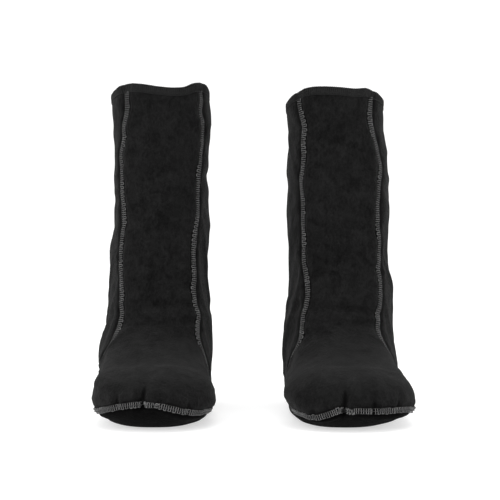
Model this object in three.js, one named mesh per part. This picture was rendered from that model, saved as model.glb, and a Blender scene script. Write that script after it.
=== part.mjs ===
// A pair of soft thermal water-sports boots, standing side by side on a flat surface.
//
// Each boot is cut and sewn from flat cloth: a front panel that runs from the rim down the shin and over
// the toes, two side panels that meet in a seam up the back of the leg, and a sole that turns up at the
// toe. Every outer panel has a lining of the same cut behind it. Flat bands of cover stitch lie over the
// seams, and an overlocked thread edge wraps the rim of the shaft.
//
// Frame: millimetres, +Z up, toes towards -Y. The wearer's right boot stands at -X and the left one at +X.
// The origin is on the floor, at the middle of the pair's footprint.
import * as THREE from "three";

// ---- Driving dimensions of one boot ----
const rimHeight = 316; // floor to the top of the overlocked rim
const rimDrop = 4; // the rim is this much lower at the calf than at the shin
const shaftWidth = 96; // side to side at the rim
const shaftDepth = 108; // shin to calf at the rim
const bendHeight = 83; // floor to the front of the ankle bend
const bendForward = 10; // the bend stands this far in front of the shin
const ankleWidth = 111; // side to side at the bend
const achillesHeight = 98; // floor to the slimmest part of the back
const achillesReach = 50; // leg axis to the cloth behind the slimmest part
const heelReach = 71; // leg axis to the back of the heel
const heelHeight = 37; // floor to the furthest point of the heel
const footLength = 267; // back of the heel to the toe tip
const ballWidth = 113; // widest part of the forefoot
const ballHeight = 52; // floor to the top of the forefoot at the ball
const toeLength = 46; // ball to the toe tip
const outerSplay = 4; // the outer side of the foot stands this much wider than the inner side
const solePress = 7; // how far the rounded sole is pressed flat by standing
const soleSeamHeight = 13; // floor to the sole seam along the sides and heel
const toeSeamHeight = 25; // floor to the sole seam at the toe tip
const squareness = 2.45; // 2 is an oval girth, more is boxier

// ---- Cloth, thread and clearances ----
const panelThickness = 3.2;
const liningThickness = 1.8;
const soleThickness = 4;
const insoleThickness = 3;
const layerGap = 0.3; // between the outer cloth and its lining
const seamGap = 0.4; // between the edges of two panels in a seam
const threadGap = 0.35; // between the cloth and the stitch band on it
const threadHeight = 0.7; // how thick a band of stitches is
const flatlockWidth = 6; // width of the flat cover stitch on the seams
const overlockDepth = 8; // how far the rim's edging reaches down the cloth
const bandGap = 0.6; // between the end of one stitch band and the edge of the next

// ---- The pair ----
const legSpacing = 176; // leg axis to leg axis
const rightToeIn = 2.4; // degrees that the right boot's toe is turned towards the other boot
const leftToeIn = 1; // and the left boot's

const mix = (a, b, t) => a + (b - a) * t;
const degrees = THREE.MathUtils.degToRad;
const ringTop = threadGap + threadHeight; // the edging stands this far over the cloth's top edge

// ---------------------------------------------------------------------------------------------------
// The outer skin of one boot
// ---------------------------------------------------------------------------------------------------

// The girths of the boot from the rim to the ball of the foot. Each lies in a plane through its front
// (or top) point and its back (or under) point, both [y, z], and has an inner and an outer half width.
// The wearer's inner side is +X here, and the other boot is its mirror image.
function girths() {
  const shin = -shaftDepth / 2;
  const calf = shaftDepth / 2;
  const rimTop = rimHeight - ringTop;
  const ankleTop = bendHeight + 26;
  const bend = [shin - bendForward, bendHeight];
  const ball = [heelReach - footLength + toeLength, ballHeight];
  const legHalf = shaftWidth / 2;
  const ankleHalf = ankleWidth / 2;
  const ballHalf = ballWidth / 2;
  const splay = outerSplay / 2;

  const leg = [0, 0.25, 0.5, 0.75].map((t) => ({
    front: [shin + 2 * Math.sin(Math.PI * t), mix(rimTop, ankleTop, t)],
    back: [mix(calf, achillesReach, t), mix(rimTop - rimDrop, achillesHeight, t)],
    inner: legHalf,
    outer: legHalf,
  }));
  const ankle = {
    front: [shin - 1, ankleTop],
    back: [achillesReach, achillesHeight],
    inner: mix(legHalf, ankleHalf, 0.45),
    outer: mix(legHalf, ankleHalf, 0.45),
  };
  // The instep falls from the bend to the ball, steeply at first.
  const instep = (t) => [mix(bend[0], ball[0], t), mix(bend[1], ball[1], 1 - (1 - t) ** 1.6)];
  const foot = [
    { t: 0, back: [heelReach - 7, mix(heelHeight, achillesHeight, 0.42)], half: ankleHalf },
    { t: 0.12, back: [heelReach, heelHeight], half: ankleHalf },
    { t: 0.28, back: [heelReach - 10, 7], half: ankleHalf - 1 },
    { t: 0.46, back: [heelReach - 42, -solePress], half: ankleHalf - 2 },
    { t: 0.64, back: [mix(heelReach - 42, ball[0], 0.34), -solePress], half: mix(ankleHalf, ballHalf, 0.3) },
    { t: 0.82, back: [mix(heelReach - 42, ball[0], 0.67), -solePress], half: mix(ankleHalf, ballHalf, 0.7) },
    { t: 1, back: [ball[0] + 9, -solePress / 2], half: ballHalf },
  ].map(({ t, back, half }) => ({
    front: instep(t),
    back,
    inner: half - splay * t,
    outer: half + splay * t,
  }));
  return [...leg, ankle, ...foot];
}

const skinGirths = girths();
const ballStation = skinGirths.length - 1;
const toeStation = ballStation + 1; // the toe cap ends here, in one point

// A smooth curve through evenly numbered values, and its slope.
function through(values, s) {
  const last = values.length - 1;
  const k = Math.min(Math.max(Math.floor(s), 0), last - 1);
  const t = s - k;
  const slope = (i) => (values[Math.min(i + 1, last)] - values[Math.max(i - 1, 0)]) / (i === 0 || i === last ? 1 : 2);
  const [a, b, ma, mb] = [values[k], values[k + 1], slope(k), slope(k + 1)];
  const ease = 3 * t ** 2 - 2 * t ** 3;
  return mix(a, b, ease) + (t ** 3 - 2 * t ** 2 + t) * ma + (t ** 3 - t ** 2) * mb;
}

const columnsOf = {
  frontY: skinGirths.map((g) => g.front[0]),
  frontZ: skinGirths.map((g) => g.front[1]),
  backY: skinGirths.map((g) => g.back[0]),
  backZ: skinGirths.map((g) => g.back[1]),
  inner: skinGirths.map((g) => g.inner),
  outer: skinGirths.map((g) => g.outer),
};
const toeTip = { y: heelReach - footLength, z: toeSeamHeight };

// The girth at station s: through the girths as far as the ball, then a rounded cap that closes on the tip.
function girthAt(s) {
  if (s <= ballStation) {
    return Object.fromEntries(Object.entries(columnsOf).map(([name, values]) => [name, through(values, s)]));
  }
  const turn = ((s - ballStation) * Math.PI) / 2;
  const close = Math.max(Math.cos(turn), 0);
  const cap = {};
  for (const side of ["front", "back"]) {
    const ys = columnsOf[side + "Y"];
    const zs = columnsOf[side + "Z"];
    const rise = (zs[ballStation] - zs[ballStation - 1]) / (ys[ballStation] - ys[ballStation - 1]);
    const y = mix(ys[ballStation], toeTip.y, Math.sin(turn));
    cap[side + "Y"] = y;
    cap[side + "Z"] = toeTip.z + (zs[ballStation] + rise * (y - ys[ballStation]) - toeTip.z) * close;
  }
  cap.inner = columnsOf.inner[ballStation] * close;
  cap.outer = columnsOf.outer[ballStation] * close;
  return cap;
}

// What stands on the floor is flat there, with a soft edge this far up and down.
const floorEdge = 3;
function pressed(z) {
  if (z <= -floorEdge) return 0;
  return z >= floorEdge ? z : (z + floorEdge) ** 2 / (4 * floorEdge);
}

// The skin's point at angle u round the girth (0 at the shin or the top of the foot, +-180 degrees at
// the calf or the sole) and station s.
function skin(u, s) {
  const g = girthAt(s);
  const [c, d] = [Math.cos(u), Math.sin(u)];
  const reach = (Math.abs(c) ** squareness + Math.abs(d) ** squareness) ** (-1 / squareness);
  const along = reach * c;
  const half = d > 0 ? g.inner : g.outer;
  return new THREE.Vector3(
    half * reach * d,
    mix(g.backY, g.frontY, (1 + along) / 2),
    pressed(mix(g.backZ, g.frontZ, (1 + along) / 2)),
  );
}

// The skin's outward direction there.
function outward(u, s) {
  if (s > toeStation - 1e-4) return new THREE.Vector3(0, -1, 0);
  const e = 1e-3;
  const [s0, s1] = [Math.max(s - e, 0), s + e];
  const round = skin(u + e, s).sub(skin(u - e, s));
  const down = skin(u, s1).sub(skin(u, s0));
  return down.cross(round).normalize();
}

// A point off the skin: lift is how far outside it is.
const off = (u, s, lift) => skin(u, s).addScaledVector(outward(u, s), lift);

// ---------------------------------------------------------------------------------------------------
// Where the seams run
// ---------------------------------------------------------------------------------------------------

function bisect(f, low, high) {
  const sign = Math.sign(f(low));
  for (let i = 0; i < 50; i++) {
    const middle = (low + high) / 2;
    if (Math.sign(f(middle)) === sign) low = middle;
    else high = middle;
  }
  return (low + high) / 2;
}

// The sole seam keeps its height along the sides and climbs round the toe.
function soleSeamZ(s) {
  const t = Math.max(s - ballStation, 0);
  return mix(soleSeamHeight, toeSeamHeight, Math.sin((t * Math.PI) / 2) ** 2);
}
const heelStation = bisect((s) => skin(Math.PI, s).z - soleSeamHeight, 5, 8);
function soleSeam(s) {
  if (s <= heelStation) return Math.PI;
  if (s >= toeStation) return Math.PI / 2;
  return bisect((u) => skin(u, s).z - soleSeamZ(s), degrees(50), Math.PI);
}

// The side seams run straight down the shin, then sweep back and down past the ankle to the ball.
const sideSeamDegrees = [45, 46, 45, 44, 42, 43, 50, 63, 82, 104, 124, 142];
const sideSeam = (s) => degrees(through(sideSeamDegrees, Math.min(s, ballStation)));
const joinStation = bisect((s) => sideSeam(s) - soleSeam(s), 8, ballStation);

// ---------------------------------------------------------------------------------------------------
// Solids
// ---------------------------------------------------------------------------------------------------

// A closed mesh from points and triangles, without the triangles that have shrunk to nothing.
function closedMesh(points, triangles, mirror) {
  const positions = points.flatMap((p) => [p.x * mirror, p.y, p.z]);
  const kept = triangles.filter(([a, b, c]) => {
    const apart = (i, j) => points[i].distanceTo(points[j]) > 1e-3;
    return apart(a, b) && apart(b, c) && apart(c, a);
  });
  const index = kept.flatMap(([a, b, c]) => (mirror > 0 ? [a, b, c] : [a, c, b]));
  const geometry = new THREE.BufferGeometry();
  geometry.setAttribute("position", new THREE.Float32BufferAttribute(positions, 3));
  geometry.setIndex(index);
  geometry.computeVertexNormals();
  return geometry;
}

// Rows of points that follow one another round a closed section: a tube, closed at its ends or on itself.
function tube(rows, looped, mirror) {
  const n = rows[0].length;
  const triangles = [];
  const last = looped ? rows.length : rows.length - 1;
  for (let r = 0; r < last; r++) {
    for (let i = 0; i < n; i++) {
      const [a, b] = [r * n + i, r * n + ((i + 1) % n)];
      const [c, d] = [((r + 1) % rows.length) * n + i, ((r + 1) % rows.length) * n + ((i + 1) % n)];
      triangles.push([a, b, c], [b, d, c]);
    }
  }
  if (!looped) {
    for (let i = 1; i < n - 1; i++) {
      const end = (rows.length - 1) * n;
      triangles.push([0, i + 1, i], [end, end + i, end + i + 1]);
    }
  }
  return closedMesh(rows.flat(), triangles, mirror);
}

// The stations that every panel shares, so that their edges match along a seam. They lie close together
// where a seam or the skin turns: down the ankle, round the heel and round the toe.
const rimEdgeStation = bisect((s) => skin(0, 0).z - skin(0, s).z - overlockDepth, 0, 1);
const heelTurns = [172, 164, 156, 148, 141, 134, 128, 123].map((turn) =>
  bisect((s) => soleSeam(s) - degrees(turn), heelStation, 9));
const toeTurns = [0.2, 0.4, 0.57, 0.71, 0.82, 0.9, 0.96];
const between = (a, b, count) => Array.from({ length: count }, (_, i) => mix(a, b, (i + 1) / (count + 1)));
const stations = [
  0, rimEdgeStation, 1.4, 2.8, 3.7, 4.3, 4.8, 5.2, 5.7, 6.2,
  heelStation, ...heelTurns, 7.8, 8.1, 8.4, ...between(8.4, joinStation, 3),
  joinStation, ...between(joinStation, ballStation, 3),
  ballStation, ...toeTurns.map((t) => ballStation + t), toeStation,
];

// One piece of cloth, from skin angle a(s) to b(s) and from one depth under the skin to another.
// Its side edges are drawn in by half a seam gap, and so is an end that closes to a point.
function cloth({ from, to, a, b, top, bottom, across, mirror }) {
  const rows = stations.filter((s) => s > from - 1e-9 && s < to + 1e-9);
  const layer = (depth) =>
    rows.map((s) => {
      const row = [];
      for (let i = 0; i <= across; i++) row.push(off(mix(a(s), b(s), i / across), s, -depth));
      return row;
    });
  const [outside, inside] = [layer(top), layer(bottom)];
  for (const grid of [outside, inside]) drawIn(grid);

  const n = across + 1;
  const points = [...outside.flat(), ...inside.flat()];
  const under = outside.length * n;
  const triangles = [];
  const turned = a(from) > b(from);
  const quad = (i, j, k, l) =>
    triangles.push(...(turned ? [[i, k, j], [i, l, k]] : [[i, j, k], [i, k, l]]));
  for (let r = 0; r + 1 < rows.length; r++) {
    const [first, last] = [r * n, r * n + across];
    for (let i = first; i < last; i++) {
      quad(i, i + n, i + n + 1, i + 1);
      quad(under + i, under + i + 1, under + i + n + 1, under + i + n);
    }
    quad(first, under + first, under + first + n, first + n);
    quad(last, last + n, under + last + n, under + last);
  }
  for (let i = 0; i < across; i++) {
    const end = (rows.length - 1) * n + i;
    quad(i, i + 1, under + i + 1, under + i);
    quad(end, under + end, under + end + 1, end + 1);
  }
  return closedMesh(points, triangles, mirror);
}

// Moves the edges of a grid of points into it by half a seam gap.
function drawIn(grid) {
  const last = grid[0].length - 1;
  const shift = (p, towards) => {
    const way = towards.clone().sub(p);
    if (way.length() > 1e-6) p.addScaledVector(way.normalize(), seamGap / 2);
  };
  const pointed = (row) => row[0].distanceTo(row[last]) < 1e-3;
  const open = grid.filter((row) => !pointed(row));
  const before = open.map((row) => [row[1].clone(), row[last - 1].clone()]);
  open.forEach((row, i) => {
    shift(row[0], before[i][0]);
    shift(row[last], before[i][1]);
  });
  grid.forEach((row, r) => {
    if (!pointed(row)) return;
    const next = grid[r === 0 ? 1 : r - 1];
    const middle = next[Math.round(last / 2)];
    row.forEach((p) => shift(p, middle));
  });
}

// A flat band of stitches over a seam, given by points with an angle and a station each.
function stitchBand(line, looped, mirror) {
  const at = line.map(([u, s]) => off(u, s, 0));
  const rows = line.map(([u, s], k) => {
    const previous = at[looped ? (k + at.length - 1) % at.length : Math.max(k - 1, 0)];
    const next = at[looped ? (k + 1) % at.length : Math.min(k + 1, at.length - 1)];
    const up = outward(u, s);
    const side = up.clone().cross(next.clone().sub(previous)).normalize();
    const corner = (across, lift) =>
      at[k].clone().addScaledVector(side, across).addScaledVector(up, lift);
    const [half, low, high] = [flatlockWidth / 2, threadGap, threadGap + threadHeight];
    return [corner(-half, low), corner(half, low), corner(half, high), corner(-half, high)];
  });
  return tube(rows, looped, mirror);
}

// The room left between the sole seam's band and one that comes down along angle u(s) and ends at s.
function roomToSoleSeam(u, s) {
  const [tip, up] = [skin(u(s), s), outward(u(s), s)];
  const half = up.clone().cross(tip.clone().sub(skin(u(s - 0.02), s - 0.02))).setLength(flatlockWidth / 2);
  const corners = [tip.clone().add(half), tip, tip.clone().sub(half)];
  const low = stations.filter((t) => t >= heelStation);
  const seamAt = (t) => skin(Math.sign(u(s)) * soleSeam(t), t);
  const room = low.slice(1).map((t, i) => {
    const piece = new THREE.Line3(seamAt(low[i]), seamAt(t));
    const nearest = new THREE.Vector3();
    const reach = (corner) => piece.closestPointToPoint(corner, true, nearest).distanceTo(corner);
    return Math.min(...corners.map(reach));
  });
  return Math.min(...room) - flatlockWidth / 2;
}

// The overlocked rim: a thin thread shell over the top edge of the cloth, outside and inside.
function rimEdging(mirror) {
  const wall = panelThickness + layerGap + liningThickness;
  const [near, far] = [threadGap, threadGap + threadHeight];
  const seam = sideSeam(0);
  const facets = (a, b, count) => Array.from({ length: count }, (_, i) => mix(a, b, i / count));
  const angles = [
    ...facets(-seam, seam, acrossPanel.front),
    ...facets(seam, Math.PI, acrossPanel.inner_side),
    ...facets(-Math.PI, -seam, acrossPanel.outer_side),
  ];
  const rows = angles.map((u) => {
    const at = (s, lift, rise) => off(u, s, lift).add(new THREE.Vector3(0, 0, rise));
    const low = rimEdgeStation;
    return [
      at(0, near, near), at(0, -wall - near, near), at(low, -wall - near, 0), at(low, -wall - far, 0),
      at(0, -wall - far, far), at(0, far, far), at(low, far, 0), at(low, near, 0),
    ];
  });
  return tube(rows, true, mirror);
}

// ---------------------------------------------------------------------------------------------------
// One boot
// ---------------------------------------------------------------------------------------------------

const acrossPanel = { front: 8, inner_side: 10, outer_side: 10, sole: 8 }; // facets across each panel
const finish = (color, roughness) => new THREE.MeshStandardMaterial({ color, roughness, metalness: 0 });
const outerCloth = finish(0x232324, 0.95);
const liningCloth = finish(0x2b2c2e, 0.95);
const soleCloth = finish(0x1b1b1a, 0.9);
const greyThread = finish(0x77787a, 0.7);
const darkThread = finish(0x343537, 0.8);

function boot(side, mirror) {
  const group = new THREE.Group();
  const add = (name, geometry, material) => {
    const mesh = new THREE.Mesh(geometry, material);
    mesh.name = side + "_" + name;
    group.add(mesh);
  };
  const minus = (f) => (s) => -f(s);
  const frontEdge = (s) => Math.min(sideSeam(s), soleSeam(s));
  const cuts = {
    front: { from: 0, to: toeStation, a: minus(frontEdge), b: frontEdge },
    inner_side: { from: 0, to: joinStation, a: frontEdge, b: soleSeam },
    outer_side: { from: 0, to: joinStation, a: minus(frontEdge), b: minus(soleSeam) },
    sole: { from: heelStation, to: toeStation, a: soleSeam, b: (s) => 2 * Math.PI - soleSeam(s) },
  };
  for (const [name, cut] of Object.entries(cuts)) {
    const isSole = name === "sole";
    const outside = isSole ? soleThickness : panelThickness;
    const lining = outside + layerGap + (isSole ? insoleThickness : liningThickness);
    const shared = { ...cut, across: acrossPanel[name], mirror };
    add(name + "_panel", cloth({ ...shared, top: 0, bottom: outside }), isSole ? soleCloth : outerCloth);
    const liningName = isSole ? "insole" : name + "_lining";
    add(liningName, cloth({ ...shared, top: outside + layerGap, bottom: lining }), liningCloth);
  }

  // The side seams start just under the rim's edging and stop just short of the sole seam's band, and so
  // does the back seam.
  const run = (u, end) => {
    const start = bisect((s) => skin(u(s), rimEdgeStation).distanceTo(skin(u(s), s)) - bandGap, rimEdgeStation, 1);
    const last = bisect((s) => roomToSoleSeam(u, s) - bandGap, 5, end);
    const inside = stations.filter((s) => s > start + 0.1 && s < last - 0.1);
    return [start, ...inside, last].map((s) => [u(s), s]);
  };
  const bands = {
    inner_side_seam: [sideSeam, joinStation],
    outer_side_seam: [minus(sideSeam), joinStation],
    back_seam: [() => Math.PI, heelStation],
  };
  for (const [name, [u, end]] of Object.entries(bands)) {
    add(name, stitchBand(run(u, end), false, mirror), greyThread);
  }
  const soleStations = stations.filter((s) => s >= heelStation);
  const there = soleStations.map((s) => [soleSeam(s), s]);
  const back = soleStations.slice(1, -1).reverse().map((s) => [2 * Math.PI - soleSeam(s), s]);
  add("sole_seam", stitchBand([...there, ...back], true, mirror), greyThread);
  add("rim_overlock", rimEdging(mirror), darkThread);
  return group;
}

const right = boot("right", 1);
right.position.x = -legSpacing / 2;
right.rotation.z = degrees(rightToeIn);
const left = boot("left", -1);
left.position.x = legSpacing / 2;
left.rotation.z = -degrees(leftToeIn);

const pair = new THREE.Group();
pair.add(right, left);
const footprint = new THREE.Box3().setFromObject(pair, true).getCenter(new THREE.Vector3());
pair.position.set(-footprint.x, -footprint.y, 0);

export default pair;
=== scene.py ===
"""A pair of thermal water-sports boots in brushed cloth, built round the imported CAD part.

Everything is worked out in millimetres on one skin per boot: a point of the skin is given by u, the angle
round the boot (0 at the shin and the top of the foot, 180 degrees at the calf and the sole), and s, the
station along it (0 at the rim, 12 at the toe tip). Panels, linings, stitches and the rim's edging are all
laid on that skin, so they stay together where the cloth settles.
"""

import math

import bpy
import numpy as np
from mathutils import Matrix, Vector


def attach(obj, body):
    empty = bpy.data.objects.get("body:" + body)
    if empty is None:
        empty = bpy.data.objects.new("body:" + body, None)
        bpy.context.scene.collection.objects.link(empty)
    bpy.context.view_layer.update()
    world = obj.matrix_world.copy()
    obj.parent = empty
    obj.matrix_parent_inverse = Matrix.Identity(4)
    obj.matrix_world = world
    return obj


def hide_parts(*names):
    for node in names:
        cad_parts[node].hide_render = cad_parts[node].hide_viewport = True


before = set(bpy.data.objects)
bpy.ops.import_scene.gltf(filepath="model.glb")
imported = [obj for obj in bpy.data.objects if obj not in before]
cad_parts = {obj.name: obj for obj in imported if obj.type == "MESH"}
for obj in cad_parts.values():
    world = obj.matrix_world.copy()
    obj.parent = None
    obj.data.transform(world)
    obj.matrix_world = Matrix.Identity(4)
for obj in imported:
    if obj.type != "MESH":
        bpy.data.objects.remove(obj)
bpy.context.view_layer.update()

# ---- Sizes of the part, in millimetres ----
RIM_HEIGHT = 316.0
RIM_DROP = 4.0
SHAFT_WIDTH = 96.0
SHAFT_DEPTH = 108.0
BEND_HEIGHT = 83.0
BEND_FORWARD = 10.0
ANKLE_WIDTH = 111.0
ACHILLES_HEIGHT = 98.0
ACHILLES_REACH = 50.0
HEEL_REACH = 71.0
HEEL_HEIGHT = 37.0
FOOT_LENGTH = 267.0
BALL_WIDTH = 113.0
BALL_HEIGHT = 52.0
TOE_LENGTH = 46.0
OUTER_SPLAY = 4.0
SOLE_PRESS = 7.0
SOLE_SEAM_HEIGHT = 13.0
TOE_SEAM_HEIGHT = 25.0
SQUARENESS = 2.45
FLOOR_EDGE = 3.0
RING_TOP = 1.05  # the rim's edging stands this far over the cloth's top edge

PANEL_THICKNESS = 3.2
LINING_THICKNESS = 1.8
SOLE_THICKNESS = 4.0
INSOLE_THICKNESS = 3.0
LAYER_GAP = 0.3
SEAM_GAP = 0.4
OVERLOCK_DEPTH = 8.0
FLATLOCK_WIDTH = 6.0
ANKLE_TOP = BEND_HEIGHT + 26  # where the front of the shaft ends
STATION_LENGTH = (RIM_HEIGHT - RING_TOP - ANKLE_TOP) / 4  # of a station of the shaft

LEG_SPACING = 176.0
PAIR_SHIFT = (-0.3277, 62.7381)  # from between the leg axes to the middle of the footprint

# ---- How each boot stands and has been sewn ----
# Lean: how far the cloth stands to the -X and +X side of the part's skin, by height over the floor.
LEAN_HEIGHTS = (14, 24, 34, 45, 60, 75, 92, 110, 130, 155, 180, 205, 230, 255, 280, 306)
# Seams: degrees round the boot from the middle of the shin, by station.
SEAM_STATIONS = (0, 0.25, 0.5, 0.75, 1, 1.25, 1.5, 1.75, 2, 2.25, 2.5, 2.75, 3, 3.25, 3.5, 3.75, 4,
                 4.5, 5, 5.5, 6, 6.5, 7, 7.5, 8.3, 9, 10, 11)
# Rim line: how far the rim stands over the part's, by degrees round the boot, wearer's outer side first.
# Toe hang: how far the toe seam stands over the part's, by x in the pair's frame.
RIM_LINE_DEGREES = (-180, -135, -110, -90, -64, -46, -38, -22, 0, 16, 30, 42, 52, 66, 90, 135, 180)
BOOTS = {
    "right": {
        "mirror": 1,
        "toe_in": 2.4,
        "toe_hang": ((-129, 0), (-104, 0.6), (-91, 0.3), (-74, -1.8), (-66, -3.4), (-57, -4.8), (-46, -5.0),
                     (-40, -4.6), (-33, -1.5)),
        "rim_line": (-2, -3, -4.5, -4.5, -2, 0.4, 1.2, 0.2, -2.6, -3.4, -2.0, 2.2, 4.2, 3.2, 0, -1, -2),
        "lean_minus_x": (0.8, 4.3, 3.5, -5.6, -5.4, -3.3, 1.7, 1.2, 1.4, 0.2, 3.2, 3.3, 1.9, 1.8, 1.9, 1.3),
        "lean_plus_x": (-0.3, 0.1, -3.0, -1.6, -1.6, -2.0, -0.3, -3.3, -3.1, -0.3, 2.2, 0.1, 0.0, 2.9, 5.5,
                        0.8),
        "inner_seam": (53, 53, 48, 52, 53, 50, 48, 47, 48, 48, 44, 41, 40, 40, 41, 42, 40,
                       41, 42, 42, 43, 46, 54, 66, 84, 104, 124, 142),
        "outer_seam": (38, 39, 40, 45, 44, 50, 49, 48, 48, 45, 44, 45, 45, 45, 44, 42, 40,
                       38, 37, 37, 38, 42, 50, 62, 84, 104, 124, 142),
    },
    "left": {
        "mirror": -1,
        "toe_in": -1.0,
        "toe_hang": ((36, 0), (45, -5.5), (53, -9), (60, -9.8), (69, -8), (78, -5.2), (86, -6.2), (107, -5),
                     (125, -2.2), (141, 1.5)),
        "rim_line": (-3, -4, -7, -11, -8.5, -5, -3.3, -4.3, -3.0, -2.3, -2.4, -4, -6.5, -9.5, -12, -7, -3),
        "lean_minus_x": (4.3, 4.1, 0.3, 1.8, 0.7, 2.2, 1.5, 5.9, 3.9, 1.0, -0.5, -0.1, -0.9, 0.0, 1.9, -1.4),
        "lean_plus_x": (8.7, 3.4, 4.0, 4.5, 3.0, 2.3, 2.3, 5.0, 4.3, 1.3, 2.3, 4.8, 5.9, 4.7, -1.4, -1.3),
        "inner_seam": (45, 46, 44, 41, 42, 41, 42, 46, 44, 43, 42, 41, 41, 42, 40, 38, 37,
                       37, 38, 39, 40, 44, 52, 64, 84, 104, 124, 142),
        "outer_seam": (41, 41, 39, 39, 42, 46, 50, 48, 46, 44, 45, 47, 49, 46, 41, 42, 41,
                       38, 36, 36, 37, 42, 50, 62, 84, 104, 124, 142),
    },
}


# ---- The skin of a boot ----


def mix(a, b, t):
    """a where t is 0, b where it is 1, and in a straight line between."""
    return a + (b - a) * t


def through(values, s):
    """A smooth curve through evenly numbered values: on each step a cubic with the slopes of the
    neighbouring values."""
    values = np.asarray(values, float)
    s = np.asarray(s, float)
    k = np.clip(np.floor(s).astype(int), 0, len(values) - 2)
    t = s - k
    slope = np.gradient(values)
    ease = 3 * t**2 - 2 * t**3
    bend = (t**3 - 2 * t**2 + t) * slope[k] + (t**3 - t**2) * slope[k + 1]
    return mix(values[k], values[k + 1], ease) + bend


def girth_table():
    """One row per girth from the rim to the ball of the foot: front y and z, back y and z, and the
    inner and outer half widths, as in the part."""
    shin, calf = -SHAFT_DEPTH / 2, SHAFT_DEPTH / 2
    rim_top = RIM_HEIGHT - RING_TOP
    bend = (shin - BEND_FORWARD, BEND_HEIGHT)
    ball = (HEEL_REACH - FOOT_LENGTH + TOE_LENGTH, BALL_HEIGHT)
    leg_half, ankle_half, ball_half = SHAFT_WIDTH / 2, ANKLE_WIDTH / 2, BALL_WIDTH / 2
    rows = []
    for t in (0, 0.25, 0.5, 0.75):
        front = (shin + 2 * math.sin(math.pi * t), mix(rim_top, ANKLE_TOP, t))
        back = (mix(calf, ACHILLES_REACH, t), mix(rim_top - RIM_DROP, ACHILLES_HEIGHT, t))
        rows.append((*front, *back, leg_half, leg_half))
    half = mix(leg_half, ankle_half, 0.45)
    rows.append((shin - 1, ANKLE_TOP, ACHILLES_REACH, ACHILLES_HEIGHT, half, half))
    arch = HEEL_REACH - 42
    foot = (
        (0, HEEL_REACH - 7, mix(HEEL_HEIGHT, ACHILLES_HEIGHT, 0.42), ankle_half),
        (0.12, HEEL_REACH, HEEL_HEIGHT, ankle_half),
        (0.28, HEEL_REACH - 10, 7, ankle_half - 1),
        (0.46, arch, -SOLE_PRESS, ankle_half - 2),
        (0.64, mix(arch, ball[0], 0.34), -SOLE_PRESS, mix(ankle_half, ball_half, 0.3)),
        (0.82, mix(arch, ball[0], 0.67), -SOLE_PRESS, mix(ankle_half, ball_half, 0.7)),
        (1, ball[0] + 9, -SOLE_PRESS / 2, ball_half),
    )
    for t, back_y, back_z, half in foot:
        front = (mix(bend[0], ball[0], t), mix(bend[1], ball[1], 1 - (1 - t) ** 1.6))
        rows.append((*front, back_y, back_z, half - OUTER_SPLAY / 2 * t, half + OUTER_SPLAY / 2 * t))
    return np.array(rows, float)


def softened(table):
    """The girths read on a fine scale, with the turn from the shin to the top of the foot, and the one
    from the calf to the heel, rounded off: there each value is the bell-weighted mean of those round it.
    The bell is widest, in stations, for the front."""
    fine = np.linspace(0, len(table) - 1, 1101)
    values = np.stack([through(table[:, i], fine) for i in range(6)], 1)
    step, reach = fine[1], 330
    ends = np.pad(values, ((reach, reach), (0, 0)), mode="edge")
    means = []
    for i, width in enumerate((1.5, 1.5, 1.15, 1.15, 1.15, 1.15)):
        bell = np.exp(-((np.arange(-reach, reach + 1) * step / width) ** 2))
        means.append(np.convolve(ends[:, i], bell / bell.sum(), "valid"))
    mean = np.stack(means, 1)
    amount = smooth(2.0, 4.2, fine) * (1 - smooth(6.4, 9.0, fine))
    back_amount = smooth(2.6, 4.2, fine) * (1 - smooth(4.6, 5.6, fine))
    each = np.stack([amount, amount, back_amount, back_amount, amount, amount], 1)
    return fine, mix(values, mean, each)


def smooth(low, high, x):
    """0 below low, 1 above high, and a smooth step between."""
    t = np.clip((x - low) / (high - low), 0, 1)
    return t * t * (3 - 2 * t)


GIRTHS = girth_table()
FINE_STATIONS, FINE_GIRTHS = softened(GIRTHS)
BALL_STATION = len(GIRTHS) - 1
TOE_STATION = BALL_STATION + 1
TOE_TIP = (HEEL_REACH - FOOT_LENGTH, TOE_SEAM_HEIGHT)


def girth_at(s):
    """The girth at station s: through the table to the ball, then a rounded cap that closes on the toe
    tip, where the length goes with the sine and the widths and heights with the cosine of one turn."""
    body = np.minimum(s, BALL_STATION)
    columns = [np.interp(body, FINE_STATIONS, FINE_GIRTHS[:, i]) for i in range(6)]
    turn = np.clip(s - BALL_STATION, 0, 1) * math.pi / 2
    close = np.maximum(np.cos(turn), 0)
    on_cap = s > BALL_STATION
    last, before = GIRTHS[BALL_STATION], GIRTHS[BALL_STATION - 1]
    for iy, iz in ((0, 1), (2, 3)):
        rise = (last[iz] - before[iz]) / (last[iy] - before[iy])
        y = mix(last[iy], TOE_TIP[0], np.sin(turn))
        z = TOE_TIP[1] + (last[iz] + rise * (y - last[iy]) - TOE_TIP[1]) * close
        columns[iy] = np.where(on_cap, y, columns[iy])
        columns[iz] = np.where(on_cap, z, columns[iz])
    for i in (4, 5):
        columns[i] = np.where(on_cap, last[i] * close, columns[i])
    return columns


def pressed(z):
    """What stands on the floor is flat there, with a soft parabola where it leaves it."""
    edge = (z + FLOOR_EDGE) ** 2 / (4 * FLOOR_EDGE)
    return np.where(z <= -FLOOR_EDGE, 0, np.where(z >= FLOOR_EDGE, z, edge))


def bump(x, centre, width):
    """A bell of height 1 at centre."""
    return np.exp(-(((x - centre) / width) ** 2))


def unit(v):
    """Vectors scaled to length 1."""
    return v / np.maximum(np.linalg.norm(v, axis=-1, keepdims=True), 1e-12)


def lengths_along(points, axis=0):
    """The length covered up to each point of a line or of a grid's lines along one axis."""
    step = np.linalg.norm(np.diff(points, axis=axis), axis=-1)
    pad = [(0, 0)] * step.ndim
    pad[axis] = (1, 0)
    return np.pad(np.cumsum(step, axis=axis), pad)


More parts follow.
